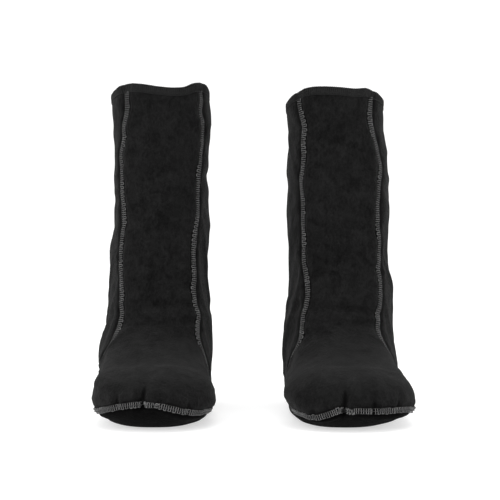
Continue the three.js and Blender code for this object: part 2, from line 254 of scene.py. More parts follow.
def girth_reach(u):
    """How far a superellipse of half widths 1 reaches in the direction u."""
    return (np.abs(np.cos(u)) ** SQUARENESS + np.abs(np.sin(u)) ** SQUARENESS) ** (-1 / SQUARENESS)


class Boot:
    """One boot's skin, with its lean, its seams and the way its cloth has settled."""

    def __init__(self, side):
        self.side = side
        self.facts = BOOTS[side]
        self.mirror = self.facts["mirror"]
        self.settled = None
        self.find_seams()

    # -- the surface --

    def place(self, p):
        """From the boot's own frame, wearer's inner side +X, to the pair's: mirrored, turned by the
        toe-in and moved to its leg."""
        turn = math.radians(self.facts["toe_in"])
        x, y = p[..., 0] * self.mirror, p[..., 1]
        x, y = x * math.cos(turn) - y * math.sin(turn), x * math.sin(turn) + y * math.cos(turn)
        leg = -self.mirror * LEG_SPACING / 2 + PAIR_SHIFT[0]
        return np.stack([x + leg, y + PAIR_SHIFT[1], p[..., 2]], -1)

    def smooth_skin(self, u, s):
        """A superellipse girth between its front and back points, leant sideways by the two tables,
        and narrowed under the toes where the sole turns up."""
        u, s = np.broadcast_arrays(np.asarray(u, float), np.asarray(s, float))
        front_y, front_z, back_y, back_z, inner, outer = girth_at(s)
        c, d = np.cos(u), np.sin(u)
        reach = girth_reach(u)
        half = np.where(d > 0, inner, outer)
        y = mix(back_y, front_y, (1 + reach * c) / 2)
        z = pressed(mix(back_z, front_z, (1 + reach * c) / 2))
        turned_up = smooth(9.0, 11.5, s) * 0.26 * (1 - smooth(0, 15, z)) ** 1.4
        p = self.place(np.stack([half * reach * d * (1 - turned_up), y, z], -1))
        narrowing = np.cos(np.clip(s - BALL_STATION, 0, 1) * math.pi / 2)
        side = (1 + reach * d * self.mirror * narrowing) / 2
        minus = np.interp(z, LEAN_HEIGHTS, self.facts["lean_minus_x"])
        plus = np.interp(z, LEAN_HEIGHTS, self.facts["lean_plus_x"])
        p[..., 0] += mix(minus, plus, side) * smooth(2, 14, z)
        hang = self.toe_hang(p[..., 0]) * bump(p[..., 2], TOE_SEAM_HEIGHT - 2, 12)
        p[..., 2] += hang * smooth(9.8, 11.2, s)
        degrees = np.mod(np.degrees(u) + 180, 360) - 180
        rim = smooth_table(RIM_LINE_DEGREES, self.facts["rim_line"], degrees)
        p[..., 2] += rim * np.exp(-((s / 0.8) ** 2))
        return p

    def toe_hang(self, x):
        """How far the toe seam stands over its height in the part."""
        return np.interp(x, *zip(*self.facts["toe_hang"]))

    def over_toe_seam(self, p):
        """How high points stand over the toe seam."""
        return p[..., 2] - TOE_SEAM_HEIGHT - self.toe_hang(p[..., 0])

    def skin(self, u, s):
        """The smooth skin moved by what the settled cloth did there."""
        p = self.smooth_skin(u, s)
        return p if self.settled is None else p + self.settled_at(u, s)

    def settled_at(self, u, s):
        """The settled cloth's moves, read between the points of its grid by a cubic in each
        direction, round the girth without an end."""
        moves = self.settled
        rows, columns = moves.shape[:2]
        u, s = np.broadcast_arrays(np.asarray(u, float), np.asarray(s, float))
        gu = np.mod(u / (2 * math.pi), 1) * columns
        gs = np.clip(s / TOE_STATION, 0, 1) * (rows - 1)
        iu, js = np.floor(gu).astype(int), np.floor(gs).astype(int)
        wu, ws = cubic_weights(gu - iu), cubic_weights(gs - js)
        out = np.zeros(u.shape + (3,))
        for a in range(4):
            row = np.clip(js + a - 1, 0, rows - 1)
            for b in range(4):
                column = (iu + b - 1) % columns
                out += (ws[a] * wu[b])[..., None] * moves[row, column]
        return out

    def outward(self, u, s):
        """The skin's outward direction: the cross product of the steps down and round it."""
        e = 2e-3
        s = np.minimum(s, TOE_STATION - 3e-3)
        around = self.skin(u + e, s) - self.skin(u - e, s)
        down = self.skin(u, s + e) - self.skin(u, np.maximum(s - e, 0))
        return unit(np.cross(down, around) * self.mirror)

    # -- where the seams run --

    def find_seams(self):
        """Tables of the sole seam's angle by station on either side, where the skin has the seam's
        height, and of the stations where the heel and the side seams reach it."""
        u = np.radians(np.linspace(50, 180, 1301))
        fine = np.linspace(5.0, TOE_STATION, 1401)
        climb = np.sin(np.maximum(fine - BALL_STATION, 0) * math.pi / 2) ** 2
        seam_z = mix(SOLE_SEAM_HEIGHT, TOE_SEAM_HEIGHT, climb)
        front_y, front_z, back_y, back_z, _, _ = girth_at(fine)
        along = (1 + girth_reach(u) * np.cos(u)) / 2
        z = pressed(mix(back_z[:, None], front_z[:, None], along[None, :]))
        under = z <= seam_z[:, None]
        first = np.where(under.any(1), under.argmax(1), len(u) - 1)
        angle = u[first]
        angle[-1] = math.pi / 2
        before = ~under.any(1)
        self.heel_station = fine[np.flatnonzero(before).max() + 1]
        angle[before] = math.pi
        self.sole_table = (fine, angle)
        self.join = {}
        for name in ("inner", "outer"):
            gap = self.sole_seam(fine) - self.side_seam(fine, name)
            crossing = np.flatnonzero((gap <= 0) & (fine > 8))[0]
            self.join[name] = fine[crossing]

    def sole_seam(self, s):
        """The angle of the sole seam at a station."""
        return np.interp(s, *self.sole_table)

    def side_seam(self, s, name):
        """The angle of the inner or outer side seam at a station."""
        return np.radians(smooth_table(SEAM_STATIONS, self.facts[name + "_seam"], s))

    def front_edge(self, s, name):
        """The front panel's edge: the side seam, and past its end the sole seam."""
        sole = self.sole_seam(s)
        return np.where(s < self.join[name], np.minimum(self.side_seam(s, name), sole), sole)


def cubic_weights(t):
    """Weights of four neighbours for a smooth curve between the middle two."""
    return (
        0.5 * (-t + 2 * t**2 - t**3),
        0.5 * (2 - 5 * t**2 + 3 * t**3),
        0.5 * (t + 4 * t**2 - 3 * t**3),
        0.5 * (-(t**2) + t**3),
    )


def smooth_table(x, y, at):
    """A table read with smooth slopes: each step is a cubic whose end slopes are the mean of its
    neighbours' slopes."""
    x, y = np.asarray(x, float), np.asarray(y, float)
    slope = np.gradient(y, x)
    k = np.clip(np.searchsorted(x, at) - 1, 0, len(x) - 2)
    step = x[k + 1] - x[k]
    t = np.clip((at - x[k]) / step, 0, 1)
    ease = 3 * t**2 - 2 * t**3
    bend = (t**3 - 2 * t**2 + t) * slope[k] * step + (t**3 - t**2) * slope[k + 1] * step
    return mix(y[k], y[k + 1], ease) + bend


# ---- The lie of the cloth: ripples, folds, gathers and the pull of the seams ----

# Gathers at the toe: where the cloth is bunched into the toe seam (x in the pair's frame), how deep
# and how wide the groove is and how far up it runs.
GATHERS = {
    "right": ((-90.0, 6.0, 2.1, 17), (-112.0, 2.6, 1.8, 9), (-50.5, 2.4, 1.8, 10), (-68.0, 0.8, 1.6, 7)),
    "left": ((82.0, 6.4, 2.3, 18), (107.5, 2.8, 1.9, 10), (130.0, 1.8, 1.8, 8), (56.0, 1.6, 2.0, 8)),
}
# Soft folds, mostly over the ankle: station, how deep, how wide in stations, where round the boot and
# how far round it either way (degrees).
FOLDS = {
    "right": ((4.62, 1.5, 0.16, 0, 46), (5.35, 1.1, 0.22, 8, 40), (4.35, 1.3, 0.2, 104, 40),
              (4.9, 1.4, 0.22, -100, 42), (4.0, 0.8, 0.18, 176, 46), (2.3, 0.5, 0.25, 20, 40)),
    "left": ((4.72, 1.6, 0.17, -4, 44), (5.4, 1.0, 0.24, -10, 42), (4.5, 1.3, 0.2, 98, 42),
             (4.25, 1.4, 0.22, -108, 40), (3.9, 0.9, 0.2, 170, 50), (1.4, 0.5, 0.25, -20, 36)),
}


def ripples(p, wavelength, seed, waves=9):
    """Soft all-over waves: the mean of plane sine waves of about one wavelength, whose directions and
    phases are drawn once from the seed."""
    draw = np.random.default_rng(seed)
    total = np.zeros(p.shape[:-1])
    for _ in range(waves):
        way = draw.normal(size=3)
        way *= 2 * math.pi / (wavelength * draw.uniform(0.75, 1.4) * np.linalg.norm(way))
        total += np.sin(p @ way + draw.uniform(0, 2 * math.pi))
    return total / math.sqrt(waves)


def wander(x, step, seed):
    """A smooth random line: normal values drawn every step along x, joined by cubics."""
    draw = np.random.default_rng(seed).normal(size=4096)
    k = np.floor(x / step).astype(int)
    weights = cubic_weights(x / step - k)
    return sum(w * draw[(k + i - 1) % 4096] for i, w in enumerate(weights))


def lie_of_the_cloth(boot, u, s, p):
    """How far the cloth lies outside the skin, whatever panel it is in: two sizes of ripples, the folds
    over the ankle and the gathers over the toe seam. Each fold is a bell across its station and round
    the boot, with a lower ridge above it."""
    seed = 11 if boot.side == "right" else 23
    lift = 0.42 * ripples(p, 46, seed) + 0.2 * ripples(p, 19, seed + 1)
    sides = np.degrees(np.arctan2(np.sin(u), np.cos(u)))
    for station, depth, width, at, spread in FOLDS[boot.side]:
        turned = np.mod(sides - at + 180, 360) - 180
        slope = 0.0035 * turned
        across = bump(s + slope, station, width) - 0.75 * bump(s + slope, station - 1.7 * width, width)
        lift -= depth * across * np.exp(-((turned / spread) ** 2))
    lift *= smooth(2, 22, p[..., 2])
    over_toe = smooth(9.6, 10.8, s)
    above = boot.over_toe_seam(p)
    fine = wander(p[..., 0] + 0.18 * above, 3.6, seed + 2) * np.exp(-np.maximum(above, 0) / 8)
    broad = wander(p[..., 0] - 0.1 * above, 9.0, seed + 3) * np.exp(-np.maximum(above, 0) / 15)
    lift += over_toe * smooth(-6, 1, above) * (0.34 * fine + 0.5 * broad)
    lift -= gather_depth(boot, s, p)
    return lift


def gather_depth(boot, s, p):
    """How deep the cloth lies in a gather: across it a bell with a low ridge on either side, and up from
    the toe seam a fall with the height of the gather; below the seam it ends within a few millimetres."""
    climb = boot.over_toe_seam(p)
    total = 0
    for x, depth, width, height in GATHERS[boot.side]:
        run = np.exp(-((np.maximum(climb, 0) / height) ** 1.4)) * smooth(-8, 1, climb)
        wider = width * (1 + 0.05 * np.maximum(climb, 0))
        off = p[..., 0] - x - 0.1 * climb
        ridges = bump(off, -2.4 * wider, 1.5 * wider) + bump(off, 2.4 * wider, 1.5 * wider)
        total = total + depth * run * (bump(off, 0, wider) - 0.4 * ridges)
    return total * smooth(9.6, 10.8, s)


BED_DEPTH = 0.95  # how deep a seam's stitches press the cloth


def seam_roll(distance):
    """A stitched seam presses a flat bed into the cloth under the stitches and leaves a soft roll beside
    it."""
    beside = smooth(3.1, 6.2, distance)
    return -BED_DEPTH * (1 - beside) + 0.6 * beside * bump(distance, 9, 5)


def seam_pull(distance, along, seed):
    """Puckers that run out from a stitched seam, sharper near it, at a slant that wanders."""
    leant = along + distance * 0.35 * np.tanh(wander(along, 60, seed + 5))
    near = np.exp(-((distance / 9.5) ** 2)) * (1 - bump(distance, 0, 4.4))
    far = np.exp(-((distance / 22) ** 2)) * (1 - bump(distance, 0, 5.0))
    ease = 0.75 + 0.35 * np.tanh(wander(along, 45, seed + 9))
    return ease * (0.85 * near * wander(leant, 5.2, seed) + 0.8 * far * wander(leant, 14, seed + 3))


# ---- Settling the cloth ----

SETTLE_ROWS, SETTLE_COLUMNS, SETTLE_FRAMES = 131, 120, 22
MEAN_RADIUS = 55.0  # of a boot, to turn angles into lengths
WEIGHT_STEPS = 40  # a weight of the cloth is one of this many
FOLD_BLUR, SHAPE_BLUR = 0.9, 6.5  # what is finer than the one and broader than the other is left out
FOLD_SHARE = 0.75
LARGEST_MOVE = 1.9


def blurred(moves, spread):
    """A bell-weighted mean over the grid, whose columns go round and whose rows stop at the ends."""
    reach = int(3 * spread)
    bell = np.exp(-((np.arange(-reach, reach + 1) / spread) ** 2) / 2)
    bell /= bell.sum()
    round_it = sum(w * np.roll(moves, k - reach, axis=1) for k, w in enumerate(bell))
    ends = np.pad(round_it, ((reach, reach), (0, 0), (0, 0)), mode="edge")
    return sum(w * ends[k:k + len(moves)] for k, w in enumerate(bell))


def cloth_weights(boot, u, s, z):
    """How firmly each point is held, weakly but for the rim, the sole and the toe, and how far it is
    gathered: a bell across each seam."""
    u = np.mod(u + math.pi, 2 * math.pi) - math.pi
    inner = np.abs(u - boot.side_seam(s, "inner"))
    outer = np.abs(u + boot.side_seam(s, "outer"))
    away = np.where(s < 8.3, np.minimum(inner, outer), 9)
    to_sole = np.abs(np.abs(u) - boot.sole_seam(s))
    away = np.minimum(away, np.where(s > boot.heel_station, to_sole, 9))
    held = 0.075 + 0.55 * (1 - smooth(0, 0.5, s)) + 0.9 * (1 - smooth(1, 8, z))
    held += 0.25 * smooth(10.2, 11.6, s)
    return {"held": held, "gathered": bump(away * MEAN_RADIUS, 0, 5.0)}


def simulated(sheet):
    """The points of a sheet after Blender's cloth simulation has blown it out and drawn in its seams."""
    cloth = sheet.modifiers.new("cloth", "CLOTH")
    settings = cloth.settings
    settings.quality = 6
    settings.mass = 0.25
    settings.tension_stiffness = settings.compression_stiffness = 18
    settings.shear_stiffness = 6
    settings.bending_stiffness = 0.35
    settings.air_damping = 3
    settings.vertex_group_mass = "held"
    settings.pin_stiffness = 1.2
    settings.use_pressure = True
    settings.uniform_pressure_force = 0.7
    settings.vertex_group_shrink = "gathered"
    settings.shrink_min, settings.shrink_max = -0.02, 0.16
    settings.effector_weights.gravity = 0
    cloth.collision_settings.use_collision = False
    scene = bpy.context.scene
    cloth.point_cache.frame_start, cloth.point_cache.frame_end = 1, SETTLE_FRAMES
    for frame_number in range(1, SETTLE_FRAMES + 1):
        scene.frame_set(frame_number)
    settled = sheet.evaluated_get(bpy.context.evaluated_depsgraph_get()).data
    found = np.empty(len(settled.vertices) * 3, np.float32)
    settled.vertices.foreach_get("co", found)
    scene.frame_set(1)
    return found.reshape(-1, 3).astype(float) * 1000


def settle(boot):
    """The sewn cloth settles on the boot: the skin, as a coarse sheet of cloth, is blown out a little by
    what fills it and drawn in along its seams, while weak pins hold the shape and strong ones the sole
    and the rim. Its folds, which are its moves less their broad part, are capped and kept for every
    piece of the boot, so that the boot's outline stays the part's."""
    u = np.linspace(0, 2 * math.pi, SETTLE_COLUMNS, endpoint=False)
    s = np.linspace(0, TOE_STATION, SETTLE_ROWS)[:-1]
    rest = boot.smooth_skin(u[None, :], s[:, None])
    tip = boot.smooth_skin(np.array(0.0), np.array(float(TOE_STATION)))
    index = np.arange(rest.shape[0] * SETTLE_COLUMNS).reshape(rest.shape[:2])
    quads = ring_quads(index[:-1], index[1:])
    fan = np.stack([index[-1], np.full(SETTLE_COLUMNS, index.size), np.roll(index[-1], -1)], -1)
    points = np.concatenate([rest.reshape(-1, 3), [tip]])
    sheet = make_object("settling cloth", points, [quads, fan], boot.mirror < 0)

    z = rest[..., 2]
    grid_u, grid_s = np.broadcast_to(u[None, :], index.shape), np.broadcast_to(s[:, None], index.shape)
    for name, weights in cloth_weights(boot, grid_u, grid_s, z).items():
        group = sheet.vertex_groups.new(name=name)
        steps = np.clip(np.round(weights.ravel() * WEIGHT_STEPS), 0, WEIGHT_STEPS).astype(int)
        for step in np.unique(steps):
            group.add(np.flatnonzero(steps == step).tolist(), float(step) / WEIGHT_STEPS, "REPLACE")
        group.add([index.size], float(steps[-1]) / WEIGHT_STEPS, "REPLACE")
    found = simulated(sheet)
    bpy.data.objects.remove(sheet, do_unlink=True)

    tip_row = lambda point: np.broadcast_to(point, (1, SETTLE_COLUMNS, 3))
    moves = np.concatenate([found[:-1].reshape(rest.shape), tip_row(found[-1])])
    moves -= np.concatenate([rest, tip_row(tip)])
    moves = blurred(moves, FOLD_BLUR)
    moves = FOLD_SHARE * (moves - blurred(moves, SHAPE_BLUR))
    length = np.linalg.norm(moves, axis=-1, keepdims=True)
    moves *= LARGEST_MOVE * np.tanh(length / LARGEST_MOVE) / np.maximum(length, 1e-9)
    rows = np.arange(SETTLE_ROWS)[:, None, None]
    moves *= smooth(0, 9, rows)
    moves = mix(moves, moves[-1], smooth(SETTLE_ROWS - 12, SETTLE_ROWS - 1, rows))
    moves[..., 2] *= smooth(0.5, 8, np.concatenate([z, np.full((1, SETTLE_COLUMNS), tip[2])]))
    boot.settled = moves


# ---- Mesh making ----


def ring_quads(here, there):
    """Four-sided faces from closed rings of points to the rings beside them."""
    return np.stack([here, there, np.roll(there, -1, 1), np.roll(here, -1, 1)], -1).reshape(-1, 4)


def make_object(name, points, faces, flip=False, values=None, uv=None):
    """A mesh object from points in millimetres and faces given as index arrays. values are floats per
    point, kept as attributes, and uv is one pair per point."""
    loops = [np.asarray(f)[:, ::-1] if flip else np.asarray(f) for f in faces]
    sizes = np.concatenate([np.full(len(f), f.shape[1]) for f in loops])
    flat = np.concatenate([f.ravel() for f in loops]).astype(np.int32)
    mesh = bpy.data.meshes.new(name)
    mesh.vertices.add(len(points))
    mesh.vertices.foreach_set("co", (np.asarray(points) / 1000).astype(np.float32).ravel())
    mesh.loops.add(len(flat))
    mesh.loops.foreach_set("vertex_index", flat)
    mesh.polygons.add(len(sizes))
    mesh.polygons.foreach_set("loop_start", np.concatenate([[0], np.cumsum(sizes)[:-1]]).astype(np.int32))
    mesh.polygons.foreach_set("use_smooth", np.ones(len(sizes), bool))
    for key, column in (values or {}).items():
        attribute = mesh.attributes.new(key, "FLOAT", "POINT")
        attribute.data.foreach_set("value", np.asarray(column, np.float32).ravel())
    if uv is not None:
        layer = mesh.uv_layers.new(name="thread")
        layer.data.foreach_set("uv", np.asarray(uv, np.float32)[flat].ravel())
    mesh.update(calc_edges=True)
    mesh.validate()
    obj = bpy.data.objects.new(name, mesh)
    bpy.context.collection.objects.link(obj)
    return obj


def shell(name, outside, inside, flip, values):
    """A closed sheet: two grids of points with the same rows and columns, joined round their edges."""
    rows, columns = outside.shape[:2]
    index = np.arange(rows * columns).reshape(rows, columns)
    under = index + rows * columns

    def quads(a, b, c, d):
        return np.stack([x.ravel() for x in (a, b, c, d)], 1)

    faces = [
        quads(index[:-1, :-1], index[1:, :-1], index[1:, 1:], index[:-1, 1:]),
        quads(under[:-1, :-1], under[:-1, 1:], under[1:, 1:], under[1:, :-1]),
        quads(index[:-1, 0], under[:-1, 0], under[1:, 0], index[1:, 0]),
        quads(index[:-1, -1], index[1:, -1], under[1:, -1], under[:-1, -1]),
        quads(index[0, :-1], index[0, 1:], under[0, 1:], under[0, :-1]),
        quads(index[-1, :-1], under[-1, :-1], under[-1, 1:], index[-1, 1:]),
    ]
    points = np.concatenate([outside.reshape(-1, 3), inside.reshape(-1, 3)])
    doubled = {key: np.concatenate([v.ravel(), v.ravel()]) for key, v in values.items()}
    return make_object(name, points, faces, flip, doubled)


THREAD_SIDES = 5


def tubes(name, strands, flip=False, tones=None):
    """Threads: each strand is (path, up, radius, looped), and tones says how light each is. A ring of
    points stands round every path point, in the plane of its up direction and the side at right angles
    to the path. The thread's own length, in widths, and turn are kept as its UV."""
    points, faces, caps, uvs, tone, start = [], [], [], [], [], 0
    turn = np.linspace(0, 2 * math.pi, THREAD_SIDES, endpoint=False)[None, :, None]
    for number, (path, up, radius, looped) in enumerate(strands):
        count = len(path)
        ahead = np.roll(path, -1, 0) - np.roll(path, 1, 0) if looped else np.gradient(path, axis=0)
        ahead = unit(ahead)
        aside = unit(np.cross(ahead, up))
        lifted = np.cross(aside, ahead)
        ring = path[:, None] + radius * (np.cos(turn) * lifted[:, None] + np.sin(turn) * aside[:, None])
        index = start + np.arange(count * THREAD_SIDES).reshape(count, THREAD_SIDES)
        here, there = (index, np.roll(index, -1, 0)) if looped else (index[:-1], index[1:])
        faces.append(ring_quads(here, there))
        if not looped:
            for end, turned in ((index[0], False), (index[-1], True)):
                fan = np.array([(end[0], end[i], end[i + 1]) for i in range(1, THREAD_SIDES - 1)])
                caps.append(fan[:, ::-1] if turned else fan)
        uv = np.empty((count, THREAD_SIDES, 2))
        uv[..., 0] = (lengths_along(path) / (2 * radius))[:, None]
        uv[..., 1] = np.arange(THREAD_SIDES)[None, :] / THREAD_SIDES
        tone.append(np.full(count * THREAD_SIDES, tones[number] if tones else 1.0))
        points.append(ring.reshape(-1, 3))
        uvs.append(uv.reshape(-1, 2))
        start += count * THREAD_SIDES
    every = [np.concatenate(faces)] + ([np.concatenate(caps)] if caps else [])
    values = {"tone": np.concatenate(tone)}
    return make_object(name, np.concatenate(points), every, flip, values, np.concatenate(uvs))


def finish_piece(obj, boot, node, material):
    """A piece takes its finish and rides with the root body, and the CAD node it stands for is hidden."""
    obj.data.materials.append(material)
    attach(obj, "root")
    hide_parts(f"{boot.side}_{node}")


# ---- Panels, linings and soles ----


def even_stations(boot, left, right, first, last, spacing):
    """Stations from first to last, evenly spaced along the middle of a panel."""
    s = np.linspace(first, last, 1600)
    length = lengths_along(boot.smooth_skin(mix(left(s), right(s), 0.5), s))
    count = max(int(length[-1] / spacing), 8)
    return np.interp(np.linspace(0, length[-1], count), length, s)


def cut_piece(boot, name, left, right, first, last, grid, top, bottom, seeds, pulled=1.0, plain=False):
    """One piece of cloth between two edges, each given as an angle by station, with a number of columns
    and a row spacing for its grid. The outside follows the lie of the cloth and, unless it is plain, the
    bed and the pull of the seam next to each edge; the inside is a smoother copy. Top and bottom are how
    deep they lie under the skin."""
    across, spacing = grid
    s = even_stations(boot, left, right, first, last, spacing)
    k = np.linspace(0, 1, across + 1)
    t = mix(k, (1 - np.cos(math.pi * k)) / 2, 0.35)
    a, b = left(s)[:, None], right(s)[:, None]
    girth = boot.skin(mix(a, b, np.linspace(0, 1, 25)), s[:, None])
    span = np.linalg.norm(np.diff(girth, axis=1), axis=-1).sum(1)
    inset = np.minimum(SEAM_GAP / 2 / np.maximum(span, 1e-6), 0.45)[:, None]
    u = mix(a, b, mix(inset, 1 - inset, t[None, :]))
    stations = np.broadcast_to(s[:, None], u.shape)
    p = boot.skin(u, stations)
    n = boot.outward(u, stations)
    shared = lie_of_the_cloth(boot, u, stations, p)
    from_left = lengths_along(p, 1)
    from_right = from_left[:, -1:] - from_left
    nearest = np.minimum(from_left, from_right)
    lift = shared.copy()
    if not plain:
        along = lengths_along(p, 0)
        fade = pulled * smooth(0, 14, from_left[:, -1])[:, None]
        loose = (smooth(0.12, 0.4, s) * (1 - smooth(10.4, 11.6, s)))[:, None]
        pull = seam_pull(from_left, along[:, :1], seeds[0]) + seam_pull(from_right, along[:, -1:], seeds[1])
        lift += (pull * loose * fade + seam_roll(nearest)) * smooth(0.5, 9, p[..., 2])
    # Painted shade: the distance kept for the finish is shortened in the toe gathers, so that the finish
    # paints them darker as it does the cloth beside a seam.
    distance = nearest * (1 - np.clip(gather_depth(boot, stations, p) / 2.5, 0, 1))
    outside = p + n * (lift - top)[..., None]
    inside = p + n * (shared - bottom)[..., None]
    outside[..., 2] = np.maximum(outside[..., 2], 0.0)
    return shell(f"{boot.side}_{name}_cloth", outside, inside, boot.mirror < 0, {"painted_shade_distance": distance})


# Columns across each piece and the spacing of its rows.
GRIDS = {"front": (96, 1.45), "inner_side": (88, 1.7), "outer_side": (88, 1.7), "sole": (80, 1.8)}


def boot_pieces(boot, finishes):
    """The sewn cloth of one boot: panels, the linings behind them, the sole and the insole."""
    inner, outer = (lambda s: boot.front_edge(s, "inner")), (lambda s: boot.front_edge(s, "outer"))
    toe, heel = TOE_STATION - 0.004, boot.heel_station + 0.004
    cuts = {
        "front": (lambda s: -outer(s), inner, 0.0, toe, (101, 102)),
        "inner_side": (inner, boot.sole_seam, 0.0, boot.join["inner"] - 0.01, (103, 104)),
        "outer_side": (lambda s: -boot.sole_seam(s), lambda s: -outer(s), 0.0, boot.join["outer"] - 0.01,
                       (105, 106)),
        "sole": (boot.sole_seam, lambda s: 2 * math.pi - boot.sole_seam(s), heel, toe, (107, 108)),
    }
    offset = 0 if boot.side == "right" else 40
    for name, (*place, seeds) in cuts.items():
        is_sole = name == "sole"
        seeds = [seed + offset for seed in seeds]
        thick = SOLE_THICKNESS if is_sole else PANEL_THICKNESS
        cloth = cut_piece(boot, name, *place, GRIDS[name], 0, thick, seeds, 0.0 if is_sole else 1.0)
        finish_piece(cloth, boot, f"{name}_panel",
                     finishes["sole" if is_sole else "nap"])

        under = thick + LAYER_GAP
        lining = under + (INSOLE_THICKNESS if is_sole else LINING_THICKNESS)
        inside_name = "insole" if is_sole else f"{name}_lining"
        coarse = (GRIDS[name][0] // 3, GRIDS[name][1] * 3)
        back = cut_piece(boot, inside_name, *place, coarse, under, lining, seeds, plain=True)
        finish_piece(back, boot, inside_name, finishes["lining"])


# ---- Seams and edging ----

THREAD = 0.25  # radius of the seam's cover thread
STITCH = 2.12  # from one stitch of the cover thread to the next
ZIGZAG, NEEDLE_STITCH = 1.25, 2.6  # the same for the middle zigzag and for the needle threads
STRAIGHTENING = 0.88  # how far the cover thread slows down at each crossing, 1 at most
SQUARING = 4.2  # how square its way across is
# The needle threads: how far aside, radius, and lift over the bed.
NEEDLES = ((0.0, 0.2, 0.52), (-2.3, 0.14, 0.0), (2.3, 0.14, 0.0))
# How light each strand is: rungs, middle zigzag, middle needle thread, edge needle threads.
SEAM_TONES = (1.1, 0.1, 0.14, 0.2, 0.2)


class Track:
    """A line sewn on the skin: points, the way out of the cloth and the way across the line, by length."""

    def __init__(self, boot, u, s, looped=False):
        p = boot.skin(u, s)
        n = boot.outward(u, s)
        p = p + n * (lie_of_the_cloth(boot, u, s, p) - BED_DEPTH)[:, None]
        self.looped = looped
        if looped:
            p, n = np.concatenate([p, p[:1]]), np.concatenate([n, n[:1]])
        self.at = lengths_along(p)
        self.length = self.at[-1]
        ahead = np.gradient(p, axis=0)
        if looped:
            ahead[0] = ahead[-1] = (p[1] - p[-2]) / 2
        self.p, self.n, self.across = p, n, unit(np.cross(n, ahead))

    def at_length(self, l):
        """The point, the way out and the way across at each length."""
        read = lambda field: np.stack([np.interp(l, self.at, field[:, i]) for i in range(3)], -1)
        return read(self.p), unit(read(self.n)), read(self.across)

    def strand(self, l, aside, lift, radius):
        """A thread at a length, a way aside and a lift over the line for each of its points."""
        p, n, across = self.at_length(l)
        aside, lift = np.broadcast_to(aside, l.shape), np.broadcast_to(lift, l.shape)
        return p + across * aside[:, None] + n * lift[:, None], n, radius, self.looped


def flatlock(track, seed):
    """A flat cover stitch. The cover thread crosses the seam at a right angle, dives into the cloth at
    its edge, steps on and crosses back; a closer zigzag fills the middle, and needle threads dip in and
    out along the middle and both edges. The cover thread's way across is a squared sine of its turns,
    and its way along slows down at each crossing so that the crossing stands straight."""
    ends = not track.looped
    pairs = max(round(track.length / STITCH / 2), 4)
    turns = np.linspace(0, pairs, pairs * 20, endpoint=ends)
    l = (turns - STRAIGHTENING * np.sin(4 * math.pi * turns) / (4 * math.pi)) * track.length / pairs
    loose = 1 + 0.08 * wander(2 * turns, 1.0, seed)
    half = FLATLOCK_WIDTH / 2 - 0.35 - THREAD
    swing = np.tanh(SQUARING * np.sin(2 * math.pi * turns)) / math.tanh(SQUARING)
    lift = 0.72 - 1.1 * np.abs(swing) ** 9 - 0.3 * bump(swing, 0, 0.25)
    lift = lift + 0.05 * wander(turns, 0.9, seed + 1)
    rungs = track.strand(l, half * loose * swing, lift, THREAD)

    close = round(track.length / ZIGZAG)
    m = np.linspace(0, track.length, close * 8, endpoint=ends)
    wave = np.sin(2 * math.pi * m * close / track.length)
    aside = 0.2 * wander(m, 5, seed + 2) + 0.3 * wave
    strands = [rungs, track.strand(m, aside, 0.6 + 0.12 * wave, 0.19)]

    needle = max(round(track.length / NEEDLE_STITCH), 3)
    m = np.linspace(0, track.length, needle * 8, endpoint=ends)
    dip = np.abs(np.sin(math.pi * m * needle / track.length)) ** 0.5
    for aside, radius, lift in NEEDLES:
        drift = 0.12 * wander(m, 6.0, seed + 1 + int(10 * aside + 30))
        strands.append(track.strand(m, aside + drift, lift + 0.72 * dip, radius))
    return strands


def boot_seams(boot, finishes):
    """The cover stitch down each side seam and up the back of the leg, and right round the sole."""
    top = (OVERLOCK_DEPTH - 0.8) / STATION_LENGTH
    clear = FLATLOCK_WIDTH / 2 + 1.0

    def sew(name, node, track, seed):
        piece = tubes(f"{boot.side}_{name}_flatlock", flatlock(track, seed), boot.mirror < 0, SEAM_TONES)
        finish_piece(piece, boot, node, finishes["seam"])

    for name, sign in (("inner", 1), ("outer", -1)):
        s = np.linspace(top, boot.join[name], 900)
        u = sign * boot.side_seam(s, name)
        gap = np.linalg.norm(boot.skin(u, s) - boot.skin(sign * boot.sole_seam(s), s), axis=1)
        keep = (gap > clear * 1.25) | (s < 7)
        sew(f"{name}_side", f"{name}_side_seam", Track(boot, u[keep], s[keep]), 7)
    s = np.linspace(top, boot.heel_station - 0.01, 700)
    u = np.full_like(s, math.pi)
    keep = np.linalg.norm(boot.skin(u, s) - boot.skin(u[-1:], s[-1:]), axis=1) > clear
    sew("back", "back_seam", Track(boot, u[keep], s[keep]), 17)
    s = TOE_STATION - (TOE_STATION - boot.heel_station) * np.linspace(1, 0, 1500)[:-1] ** 2
    s = np.sort(np.concatenate([s, np.linspace(boot.heel_station, TOE_STATION - 0.01, 900)[1:]]))
    there, back = boot.sole_seam(s), 2 * math.pi - boot.sole_seam(s)
    u, s = np.concatenate([there, back[::-1][1:-1]]), np.concatenate([s, s[::-1][1:-1]])
    sew("sole", "sole_seam", evenly(boot, u, s), 27)


def evenly(boot, u, s):
    """A looped line as a track, with its points evenly spaced."""
    p = boot.skin(u, s)
    at = lengths_along(np.concatenate([p, p[:1]]))
    l = np.linspace(0, at[-1], 1200, endpoint=False)
    u, s = (np.interp(l, at, np.append(values, values[0])) for values in (u, s))
    return Track(boot, u, s, True)


RIM_TOP_DEPTH = 0.6  # under the rim, where the edging starts to turn over it
RIM_CLIMB, RIM_CROSS = 0.42, 0.58  # shares of the edging's section that end on the outside and on the top
WRAP, DASH = 2.15, 2.5  # from one turn of a wrapping thread, and from one needle stitch, to the next
# The wrapping threads: where in a turn each starts, how far it leans, and its radius.
WRAPPERS = ((0.0, 0.9, 0.23), (0.5, -0.5, 0.18))


